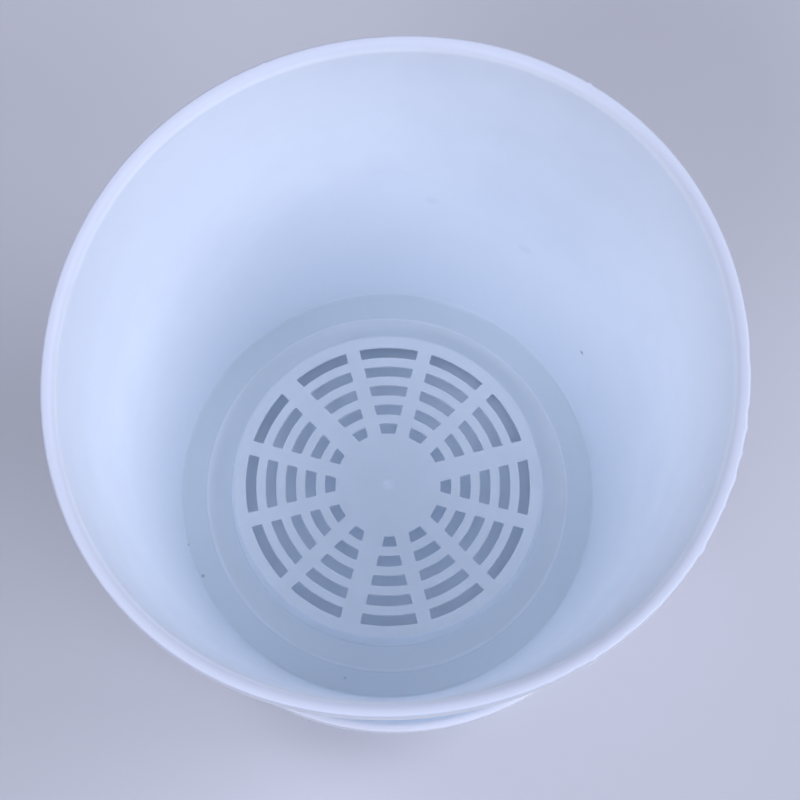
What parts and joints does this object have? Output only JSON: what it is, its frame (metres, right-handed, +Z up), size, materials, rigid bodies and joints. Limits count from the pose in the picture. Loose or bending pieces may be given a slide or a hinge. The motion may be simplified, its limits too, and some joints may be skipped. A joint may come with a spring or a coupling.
{
  "type": "plant pot with saucer",
  "caption": "Flared white plastic plant pot with a rolled lip and a lift-out slotted drainage grid, standing in a shallow lipped saucer.",
  "frame": {"origin": "on the ground, at the centre of the saucer's underside", "axes": "+Z up along the pot's axis; +X to the right and +Y away from the viewer in the picture"},
  "size_m": [0.239, 0.239, 0.211],
  "materials": {
    "saucer_plastic": "satin moulded polypropylene",
    "pot_plastic": "satin moulded polypropylene",
    "grid_plastic": "satin moulded polypropylene"
  },
  "bodies": {
    "saucer": {"saucer": "saucer_plastic"},
    "pot": {"pot": "pot_plastic"},
    "drainage_grid": {"drainage_grid": "grid_plastic"}
  },
  "joints": [
    {"name": "pot_lift", "type": "slide", "parent": "saucer", "child": "pot", "axis": [0, 0, 1], "range_m": [0, 0.06]},
    {"name": "grid_lift", "type": "slide", "parent": "pot", "child": "drainage_grid", "axis": [0, 0, 1], "range_m": [0, 0.22]}
  ]
}
